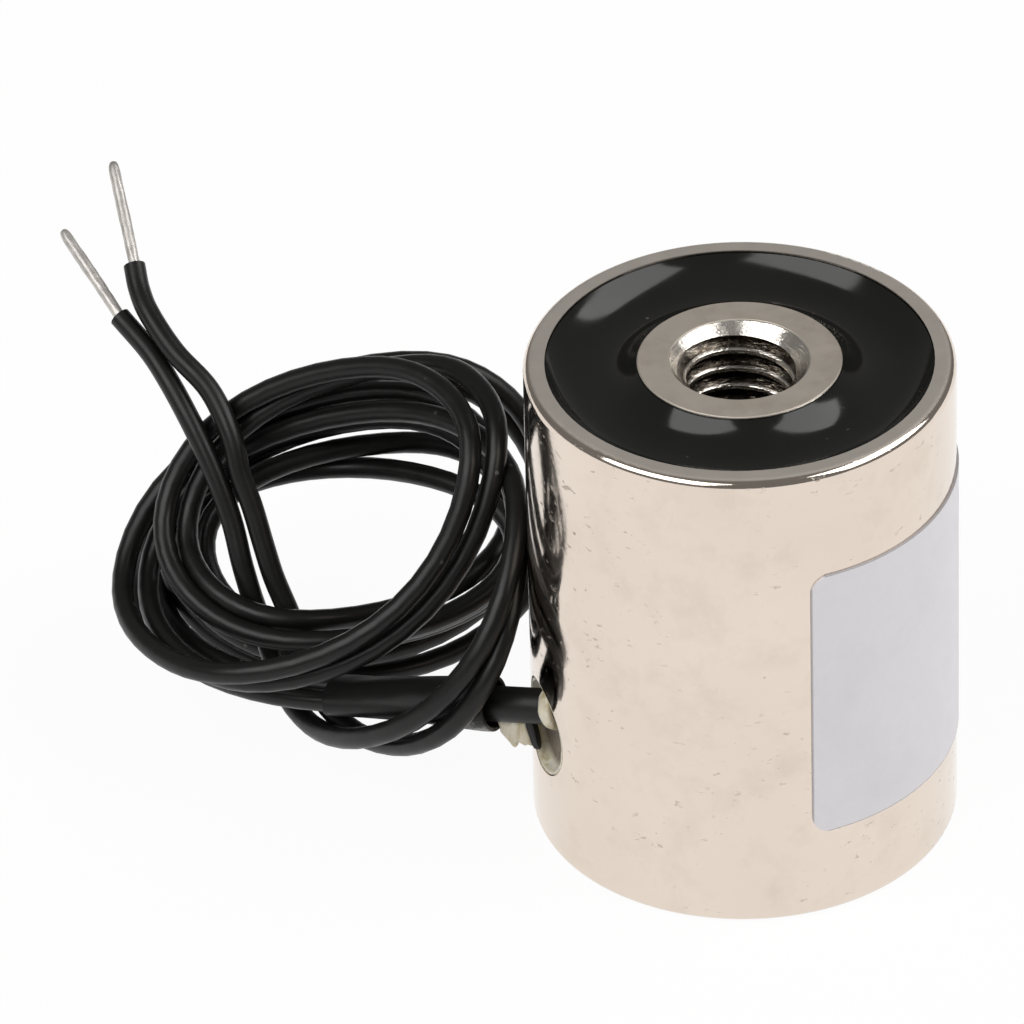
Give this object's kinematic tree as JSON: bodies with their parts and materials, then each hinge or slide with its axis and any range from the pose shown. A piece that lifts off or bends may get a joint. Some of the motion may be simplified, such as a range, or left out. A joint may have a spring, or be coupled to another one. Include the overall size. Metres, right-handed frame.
{
  "type": "round holding electromagnet",
  "caption": "Round holding electromagnet: plated steel cup, tapped core flush with its rim, black potted coil, side label and a pair of coiled flying leads with tinned ends.",
  "frame": {"origin": "centre of the magnet's flat back face", "axes": "+Z along the core, from the back to the pole face; the leads leave through the wall at -X and the label is centred on +X"},
  "size_m": [0.0348, 0.0401, 0.025],
  "materials": {
    "plated_steel": "warm nickel plate, satin bright",
    "ground_steel": "plated, dull grey",
    "former_nylon": "natural moulded",
    "enamelled_copper": "enamelled copper wire",
    "yellow_tape": "polyester tape",
    "black_resin": "glossy cast resin",
    "label_paper": "plain satin white",
    "clear_glue": "milky glue",
    "black_sleeving": "satin black sleeving",
    "lead_insulation": "satin black insulation",
    "tinned_copper": "tinned strands"
  },
  "bodies": {
    "root": {"shell": "plated_steel", "core": "ground_steel", "former": "former_nylon", "winding": "enamelled_copper", "winding_tape": "yellow_tape", "potting": "black_resin", "label": "label_paper", "exit_seal": "clear_glue", "winding_ends": "enamelled_copper", "inlet_tube": "black_sleeving", "solder_joints": "tinned_copper", "lead_sleeve": "black_sleeving", "lead_1_run": "lead_insulation", "lead_2_run": "lead_insulation", "lead_coil": "lead_insulation", "lead_1_tail": "lead_insulation", "lead_2_tail": "lead_insulation", "tinned_end_1": "tinned_copper", "tinned_end_2": "tinned_copper"}
  },
  "joints": []
}
